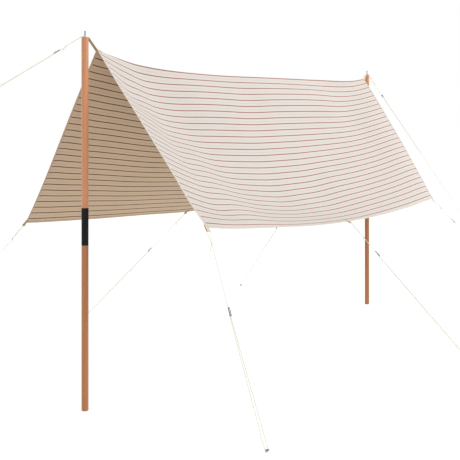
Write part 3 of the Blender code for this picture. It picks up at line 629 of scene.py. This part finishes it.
def edge_binding():
    """The tape round all four edges, the two ends lapped over the hems."""
    points, faces, measure, shaded = [], [], [], []
    for which, count, lift in (("front", 241, 0.0), ("back", 241, 0.0), ("left", 181, 0.25), ("right", 181, 0.25)):
        more, skin, flat, inner = bound_edge(which, count, lift * MM)
        faces += [tuple(c + len(points) for c in face) for face in skin]
        points += more
        measure += flat
        shaded += inner
    mesh = with_tape_map(tidied(mesh_of(points, faces)), measure)
    return two_sided(mesh, shaded, bias, painted_shade_bias)


def binding_seams():
    """Runs for the stitches that hold the tape, on both faces of the cloth."""
    runs = []
    offset = CLOTH_THICKNESS / 2 + BINDING_THICKNESS + 0.35 * MM
    for which, count in (("front", 241), ("back", 241), ("left", 181), ("right", 181)):
        line = edge_line(which, BINDING_WIDTH - 2.5 * MM, count)
        middle, normal = folded_cloth(*line), cloth_face(*line)
        for side in (1, -1):
            runs.append((middle + side * offset * normal, False))
    return runs


# Tabs of cotton tape

def strap(route, normals, width_way, width, thickness, fall=None):
    """A tape along a route of points, with its flat measure; fall lets its two sides drape down."""
    spread = np.linspace(-1, 1, RING // 2)
    loops, measure = [], []
    length = 0.0
    for i, (point, normal) in enumerate(zip(route, normals)):
        length += (point - route[i - 1]).length if i else 0.0
        drop = fall[i] if fall else 0.0
        line = [point + width_way * (k * width / 2) + Vector((0, 0, -abs(k) * drop)) for k in spread]
        ring = [p + normal * thickness / 2 for p in line] + [p - normal * thickness / 2 for p in line[::-1]]
        loops.append(ring)
        across = [k * width / 2 for k in spread]
        measure += [(length, a) for a in across + across[::-1]]
    return *rings(loops), measure


def sewn_tape(skin, is_shaded):
    """A strap's mesh with soft edges; is_shaded tells for a station and a side whether it looks inwards and so gets
    the tape with painted shade.
    """
    points, faces, measure = skin
    mesh = with_tape_map(tidied(mesh_of(points, faces)), measure)
    two_sided(mesh, [is_shaded(i // RING, i % RING) for i in range(len(faces))], tape, painted_shade_tape)
    return baked(mesh, ("BEVEL", {"width": 0.4 * MM, "segments": 2, "limit_method": "ANGLE"}))


def edge_frame(share, across, toward):
    """Where a tab sits on the hem: first direction outwards in the cloth, second its outer side."""
    corner = solid_point(share, across)
    normal = solid_normal(share, across)
    outwards = toward - corner
    outwards = (outwards - normal * outwards.dot(normal)).normalized()
    spot = Matrix((outwards, normal, outwards.cross(normal))).transposed().to_4x4()
    spot.translation = corner
    return spot


def hem_tab(share, across, spot):
    """A folded tape sewn to both faces of the hem, its eye beyond the edge, and its box of stitches."""
    origin, outwards, normal, width_way = spot.translation, *(spot.to_3x3().col[k] for k in range(3))
    lift = CLOTH_THICKNESS / 2 + BINDING_THICKNESS + 0.3 * MM + TAB_THICKNESS / 2
    step = 0.004
    inner_share = min(max(share, step), 1 - step)
    over = across * (1 - step)
    run_along = Vector(folded_cloth(inner_share + step, over) - folded_cloth(inner_share - step, over))
    run_along = run_along / (2 * step)
    run_across = Vector(folded_cloth(inner_share, across) - folded_cloth(inner_share, across * (1 - 2 * step)))
    run_across = run_across / (2 * step) * across

    def leg(back, side):
        """A point on the cloth's face, back from the edge by a distance, and the way that face looks."""
        cross = run_along.dot(run_across)
        gram = Matrix(((run_along.dot(run_along), cross), (cross, run_across.dot(run_across))))
        aim = Vector((run_along.dot(outwards), run_across.dot(outwards))) * -back
        move = gram.inverted() @ aim
        place = (min(max(share + move.x, 0.0), 1.0), min(max(across + move.y, -1.0), 1.0))
        face = Vector(cloth_face(*place))
        return Vector(folded_cloth(*place)) + side * lift * face, side * face

    stations = [TAB_OVERLAP * k / 5 for k in range(5, 0, -1)]
    route, looks = [], []
    for back in stations:
        point, face = leg(back, 1)
        route.append(point)
        looks.append(face)
    radius = EYE_RADIUS + TAB_THICKNESS / 2
    for angle in range(110, -111, -20):
        a = math.radians(angle)
        reach = TAB_REACH + radius * math.cos(a)
        route.append(origin + outwards * reach + normal * radius * math.sin(a))
        looks.append(outwards * math.cos(a) + normal * math.sin(a))
    for back in stations[::-1]:
        point, face = leg(back, -1)
        route.append(point)
        looks.append(face)
    under = len(route) // 2
    skin = strap(route, looks, width_way, TAB_WIDTH, TAB_THICKNESS)
    # The tape's second half, on the cloth's inner side, gets painted shade on the face that looks away from the cloth
    mesh = sewn_tape(skin, lambda station, side: station >= under and side < RING // 2)
    seams = []
    half = TAB_WIDTH / 2 - 2.5 * MM
    for side in (1, -1):
        (near, face), (far, _) = leg(3 * MM, side), leg(TAB_OVERLAP - 3 * MM, side)
        rise = face * (TAB_THICKNESS / 2 + 0.25 * MM)
        box = [near - width_way * half, near + width_way * half, far + width_way * half, far - width_way * half]
        seams.append(([p + rise for p in box], True))
    return mesh, seams


def ridge_tab(x, inwards):
    """The strap from the pin, over the pole's top edge and down onto the ridge, which it drapes over."""
    share = 0.0 if inwards > 0 else 1.0
    flat = POLE_HEIGHT + GAP + RIDGE_TAB_THICKNESS / 2
    lift = (CLOTH_THICKNESS + RIDGE_TAB_THICKNESS) / 2 + BINDING_THICKNESS + 0.6 * MM
    end = Vector(folded_cloth(share, 0.0))
    second = Vector(folded_cloth(share + inwards * 0.01, 0.0))
    run = (second - end).normalized()
    up = Vector((-run.z * inwards, 0.0, abs(run.x)))
    start = Vector((x + inwards * (POLE_RADIUS + 3 * RIDGE_TAB_BEND), 0.0, flat - RIDGE_TAB_BEND))
    start += Vector((SHIFT.x, SHIFT.y, 0.0))
    outer_end = x - inwards * TAB_WIDTH / 2 + SHIFT.x
    top = [Vector((outer_end + inwards * k * 4 * MM, SHIFT.y, flat)) for k in range(8)]
    route = top + [start + (end + up * lift - start) * k / 8 for k in range(9)]
    route += [end + up * lift + run * RIDGE_TAB_OVERLAP * k / 4 for k in range(1, 5)]
    fall = []
    for i in range(len(route)):
        drape = min(max((i - len(top)) / 8, 0.0), 1.0)
        fall.append(drape * TAB_WIDTH / 2 * 1.25)
    looks = []
    for i, point in enumerate(route):
        along = (route[min(i + 1, len(route) - 1)] - route[max(i - 1, 0)]).normalized()
        looks.append(Vector((-along.z * inwards, 0.0, abs(along.x))))
    skin = strap(route, looks, Vector((0, 1, 0)), TAB_WIDTH, RIDGE_TAB_THICKNESS, fall)
    # The strap's lower face gets the copy with painted shade
    mesh = sewn_tape(skin, lambda station, side: side >= RING // 2)
    seams = []
    for side in (-1, 1):
        rise = up * (RIDGE_TAB_THICKNESS / 2 + 0.3 * MM)
        off = Vector((0, side * 6 * MM, -0.6 * 1.25 * TAB_WIDTH / 2))
        seams.append(([p + off + rise for p in route[-5:]], False))
    return mesh, seams


def eyelet(x):
    """A pressed steel ring round the pin, on the strap's top."""
    top = POLE_HEIGHT + GAP + RIDGE_TAB_THICKNESS
    hole = PIN_RADIUS + GAP
    profile = [
        (hole, top), (hole, top + 1.0 * MM), (hole + 1.2 * MM, top + 1.5 * MM), (EYELET_RADIUS - MM, top + 1.0 * MM),
        (EYELET_RADIUS, top + 0.3 * MM), (EYELET_RADIUS, top),
    ]
    loops = []
    for k in range(40):
        a = 2 * math.pi * k / 40
        loops.append([Vector((x + r * math.cos(a), r * math.sin(a), z)) + SHIFT for r, z in profile])
    return rings(loops, closed=True)


# Ropes, on the solids' own routes

def eased(route, reach):
    """A route with its sharp corners rounded, each within its own short reach."""
    out = [route[0]]
    for before, corner, after in zip(route, route[1:], route[2:]):
        into, away = before - corner, after - corner
        a = corner + into.normalized() * min(reach, into.length * 0.45)
        b = corner + away.normalized() * min(reach, away.length * 0.45)
        for t in (0.0, 0.25, 0.5, 0.75, 1.0):
            out.append(a * (1 - t) ** 2 + corner * 2 * t * (1 - t) + b * t ** 2)
    return out + [route[-1]]


def knot_loop(centre, spot, radius, steps=40):
    """A drawn-up knot: one closed run that passes three times over itself."""
    run = []
    for k in range(steps):
        t = 2 * math.pi * k / steps
        place = Vector((math.sin(t) + 2 * math.sin(2 * t), math.cos(t) - 2 * math.cos(2 * t), -1.4 * math.sin(3 * t)))
        run.append(centre + spot @ (place * radius / 3))
    return run


def guy_rope(start, eye, peg_place, knot_at, slider_at):
    """All the runs of one rope: eye and knot, through the slider, round the peg and back, and its tail."""
    away = Vector((peg_place.x - start.x, peg_place.y - start.y, 0.0)).normalized()
    peg_side = Vector((-away.y, away.x, 0.0))
    bend = ROPE_RADIUS / math.cos(math.radians(22.5)) + GAP
    strand_off = PEG_WIDTH / 2 + bend
    neck = peg_place + Vector((0, 0, 2 * ROPE_RADIUS + GAP))
    down = (neck - start).normalized()
    knot = start + down * knot_at
    plate_normal = down.cross(peg_side).normalized()
    if plate_normal.z < 0:
        plate_normal = -plate_normal
    spot = Matrix((down, plate_normal, peg_side)).transposed().to_4x4()
    spot.translation = start + down * slider_at
    off = SLIDER_THICKNESS / 2 + GAP + ROPE_RADIUS
    part_way = SLOT_PITCH / 2 - WEAVE_RUN
    spread = 2 * (ROPE_RADIUS + GAP)

    def local(a, b, c=0.0):
        return spot @ Vector((a, b, c))

    weave = [
        local(-WEAVE_LEAD, -off), local(-SLOT_PITCH - part_way, -off), local(-SLOT_PITCH + part_way, off),
        local(-part_way, off), local(part_way, -off), local(SLOT_PITCH, -off, -spread),
        local(SLIDER_LENGTH / 2 + 2 * WEAVE_EASE, -off, -spread),
    ]
    climb = down * (PEG_APPROACH / math.hypot(down.x, down.y))
    turn = [neck - climb - peg_side * strand_off]
    for corner_side, angles in ((-1, (180, 135, 90)), (1, (90, 45, 0))):
        corner = neck + peg_side * (corner_side * PEG_WIDTH / 2) + away * (PEG_THICKNESS / 2)
        for angle in angles:
            a = math.radians(angle)
            turn.append(corner + bend * (peg_side * math.cos(a) + away * math.sin(a)))
    turn.append(neck - climb + peg_side * strand_off)
    home = [
        local(SLOT_PITCH + part_way + WEAVE_EASE, -off, WEAVE_EASE / 4), local(SLOT_PITCH + part_way, -off),
        local(SLOT_PITCH - part_way, off),
    ]
    stopper = local(SLOT_PITCH - part_way - WEAVE_EASE / 4, SLIDER_THICKNESS / 2 + GAP + STOPPER_RADIUS)
    drop = (Vector((down.y, -down.x, -TAIL_DROP)).normalized() + down * TAIL_LEAN).normalized()
    sway = Vector((0, 0, -1)) * TAIL_LENGTH * 0.12
    tail = [knot, knot + drop * TAIL_LENGTH * 0.5, knot + drop * TAIL_LENGTH * 0.95 + sway]
    axes = spot.to_3x3()
    return [
        (eased([knot, *weave, *turn, *home, stopper], 3 * MM), False),
        (eased([knot, *eye, knot], 2 * MM)[:-1], True),
        (eased(tail, 8 * MM), False),
        (knot_loop(knot, axes, KNOT_RADIUS - 1.3 * MM), True),
        (knot_loop(stopper, axes, STOPPER_RADIUS - 1.3 * MM), True),
    ]


def eye_round_tab(start, down, width_way):
    """The rope's way through a tab's eye and down both sides of the tab."""
    half_width = TAB_WIDTH / 2 + ROPE_RADIUS + 2 * GAP
    side = width_way * half_width
    corner = down * EYE_CORNER
    turn = down * (half_width * EYE_SHOULDER)
    mouth = side * EYE_MOUTH
    right = [start + turn + side, start + corner + side, start + mouth]
    return right + [start - mouth, start + corner - side, start + turn - side]


def eye_round_pin(pin_centre, edge, outwards):
    """The rope's way over the pole's edge, level round the pin, and back over the edge."""
    radius = PIN_RADIUS + GAP + ROPE_RADIUS
    width, way = Vector((0, 1, 0)), Vector((-outwards, 0, 0))
    angles = [math.radians(angle) for angle in range(-100, 101, 25)]
    arc = [pin_centre + radius * (way * math.cos(a) - width * math.sin(a)) for a in angles]
    mouth = width * radius * PIN_LOOP_MOUTH
    return [edge + mouth, *arc, edge - mouth]


# Pieces kept from the solids, merged and with worn edges

def worn(node, edge):
    """A merged copy of a node's mesh with every crisp edge rounded by a little."""
    mesh = tidied(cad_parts[node].data.copy(), 0.01 * MM)
    settings = {"width": edge, "segments": 2, "limit_method": "ANGLE", "angle_limit": math.radians(38)}
    return tidied(baked(mesh, ("BEVEL", settings)))


# Around the canopy

def stage():
    """A pale studio floor, lit from within a little so that it stays white under the cloth."""
    material, tree, shader = finish_of("studio_paper", 0.95, Specular_IOR_Level=0.0)
    place = add(tree, "ShaderNodeTexCoord").outputs["Object"]
    tone = add(tree, "ShaderNodeTexNoise", {"Vector": place, "Scale": 2.0}).outputs[0]
    base = add(tree, "ShaderNodeMix", {0: tone, 6: linear("#7E7E7E"), 7: linear("#828282")}, data_type="RGBA")
    tree.links.new(base.outputs[2], shader.inputs["Base Color"])
    shader.inputs["Emission Color"].default_value = (1.0, 1.0, 1.0, 1.0)
    shader.inputs["Emission Strength"].default_value = 0.86
    half = 60.0
    mesh = mesh_of([(-half, -half, 0), (half, -half, 0), (half, half, 0), (-half, half, 0)], [(0, 1, 2, 3)])
    mesh.materials.append(material)
    floor = bpy.data.objects.new("floor", mesh)
    floor.location = (0, 0, -0.001)
    bpy.context.scene.collection.objects.link(floor)


def soft_lamp(name, place, size, energy):
    """A broad round lamp that looks at the middle of the canopy."""
    lamp = bpy.data.lights.new(name, "AREA")
    lamp.shape = "DISK"
    lamp.size = size
    lamp.energy = energy
    holder = bpy.data.objects.new(name, lamp)
    holder.location = place
    holder.rotation_euler = (Vector((0.2, 0.0, 1.2)) - Vector(place)).to_track_quat("-Z", "Y").to_euler()
    bpy.context.scene.collection.objects.link(holder)


def lights():
    """A white surround, a key lamp high on the camera's right, and a weaker one behind."""
    world = bpy.data.worlds.new("studio")
    bpy.context.scene.world = world
    world.use_nodes = True
    world.node_tree.nodes["Background"].inputs[0].default_value = (1, 1, 1, 1)
    world.node_tree.nodes["Background"].inputs[1].default_value = 1.0
    soft_lamp("key", (3.2, -8.0, 6.4), 5.0, 430.0)
    soft_lamp("fill", (-1.5, 8.0, 7.0), 6.0, 260.0)
    bpy.context.scene.view_settings.view_transform = "Standard"


def camera():
    """At eye height, looking level along the left front, with the horizon high in the frame."""
    data = bpy.data.cameras.new("camera")
    data.sensor_width = 36.0
    data.lens = 70.43
    data.shift_y = -0.2079
    data.clip_end = 300.0
    holder = bpy.data.objects.new("camera", data)
    holder.location = (-5.2059, -3.3325, 1.4802)
    holder.rotation_euler = (math.pi / 2, 0.0, -math.atan2(0.83797, 0.54571))
    bpy.context.scene.collection.objects.link(holder)
    bpy.context.scene.camera = holder


camera()
stage()
lights()

outside = striped_canvas("cotton_canvas_outside", "#C4BFB7", "#C8C3BC", "#94534E", "#B8A6A1")
# The inner face: the same canvas, darker and browner, with the shade under the canopy painted into its colours
inside = striped_canvas("cotton_canvas_inside_painted_shade", "#BFA88D", "#C4AE94", "#4E241C", "#A58E74")
upper_wood = turned_wood("oiled_hardwood_upper", "#C4865D", "#B87C53", "#8F5A35", (0.0, 0.0, 0.0))
lower_wood = turned_wood("oiled_hardwood_lower", "#AC6F42", "#A0653A", "#74401F", (0.4, 0.2, 0.7))
black = coated_sleeve()
pin_steel = plated_steel("zinc_plated_pin", "#8E9094", "#6F7175", 0.35)
dark_steel = plated_steel("zinc_plated_slider", "#77787A", "#5B5C5E", 0.42)
peg_steel = plated_steel("zinc_plated_peg", "#B0A39E", "#958A86", 0.5)
# The rope's dark colour is painted shade for the grooves between its strands
rope = cotton_thread("laid_cotton_rope", "#E6E5D2", "#A8A68A")
thread = cotton_thread("cotton_sewing_thread", "#B7A88F", "#94866E")
tape = webbing("cotton_webbing_tape", "#D6CAB4", "#C4B89F")
# A darker, browner copy of the tape: painted shade for the faces that look inwards
painted_shade_tape = webbing("cotton_webbing_painted_shade", "#B0967A", "#9A8064")
# The binding's second copy is darker and browner: painted shade for the faces that look inwards
bias = webbing("cotton_edge_binding", "#D0CABF", "#C2BBAE")
painted_shade_bias = webbing("cotton_edge_binding_painted_shade", "#BDA68B", "#AE967B")

cloth = piece("striped_cloth", canopy(), "canopy_cloth", "striped_cotton", outside, inside)
binding = piece("edge_binding", edge_binding(), None, "striped_cotton", bias, painted_shade_bias)

seams = binding_seams()
rope_runs = {}
for name, share, across, knot_at, slider_at in (
    ("front_left", 0.0, -1.0, 0.065, 0.410), ("back_left", 0.0, 1.0, 0.105, 0.420),
    ("front_right", 1.0, -1.0, 0.080, 0.225), ("back_right", 1.0, 1.0, 0.090, 0.400),
    ("front_middle", 0.5, -1.0, 0.130, 0.270), ("back_middle", 0.5, 1.0, 0.110, 0.440),
):
    peg_place = Vector((*PEG_PLACES[name], 0.0)) + SHIFT
    spot = edge_frame(share, across, peg_place)
    mesh, box = hem_tab(share, across, spot)
    piece(f"tape_tab_{name}", mesh, f"tab_{name}", "cotton_webbing", tape, painted_shade_tape)
    seams += box
    start = spot @ Vector((TAB_REACH + EYE_RADIUS - ROPE_RADIUS - GAP, 0.0, 0.0))
    down = (peg_place + Vector((0, 0, 2 * ROPE_RADIUS + GAP)) - start).normalized()
    eye = eye_round_tab(start, down, spot.to_3x3().col[2])
    rope_runs[name] = guy_rope(start, eye, peg_place, knot_at, slider_at)

for side, x, inwards, reach, knot_at, slider_at in (
    ("left", LEFT_X, 1, LEFT_RIDGE_REACH, 0.140, 0.215), ("right", RIGHT_X, -1, RIGHT_RIDGE_REACH, 0.110, 0.360),
):
    mesh, rows = ridge_tab(x, inwards)
    piece(f"{side}_ridge_strap", mesh, f"{side}_ridge_tab", "cotton_webbing", tape, painted_shade_tape)
    seams += rows
    ring = tidied(mesh_of(*eyelet(x)))
    piece(f"{side}_eyelet", ring, None, "steel", pin_steel)
    height = POLE_HEIGHT + RIDGE_TAB_THICKNESS + 2 * GAP + ROPE_RADIUS
    pin_centre = Vector((x, 0.0, height)) + SHIFT
    edge = pin_centre - Vector((inwards * (POLE_RADIUS + RIDGE_TAB_BEND), 0.0, 0.0))
    peg_place = Vector((x - inwards * reach, 0.0, 0.0)) + SHIFT
    eye = eye_round_pin(pin_centre, edge, -inwards)
    rope_runs[f"{side}_ridge"] = guy_rope(edge, eye, peg_place, knot_at, slider_at)

laid = rope_tree()
for name, runs in rope_runs.items():
    mesh = baked(lines_mesh(runs), ("NODES", {"node_group": laid, "inputs": {"Material": rope}}))
    piece(f"laid_rope_{name}", mesh, f"guy_rope_{name}", "cotton_rope", rope)

sewn = {"node_group": stitch_tree(), "inputs": {"Material": thread}}
piece("seam_stitches", baked(lines_mesh(seams), ("NODES", sewn)), None, "cotton_webbing", thread)

WORN = {
    "pole_upper": (0.8, upper_wood, "pole_wood"), "pole_lower": (0.8, lower_wood, "pole_wood"),
    "pole_sleeve": (0.3, black, "sleeve_black"), "pole_pin": (0.4, pin_steel, "steel"),
    "slider": (0.35, dark_steel, "steel"), "peg": (0.6, peg_steel, "steel"),
}
for node in list(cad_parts):
    for key, (edge, look, slot) in WORN.items():
        if key in node:
            piece(f"{node}_dressed", worn(node, edge * MM), node, slot, look)
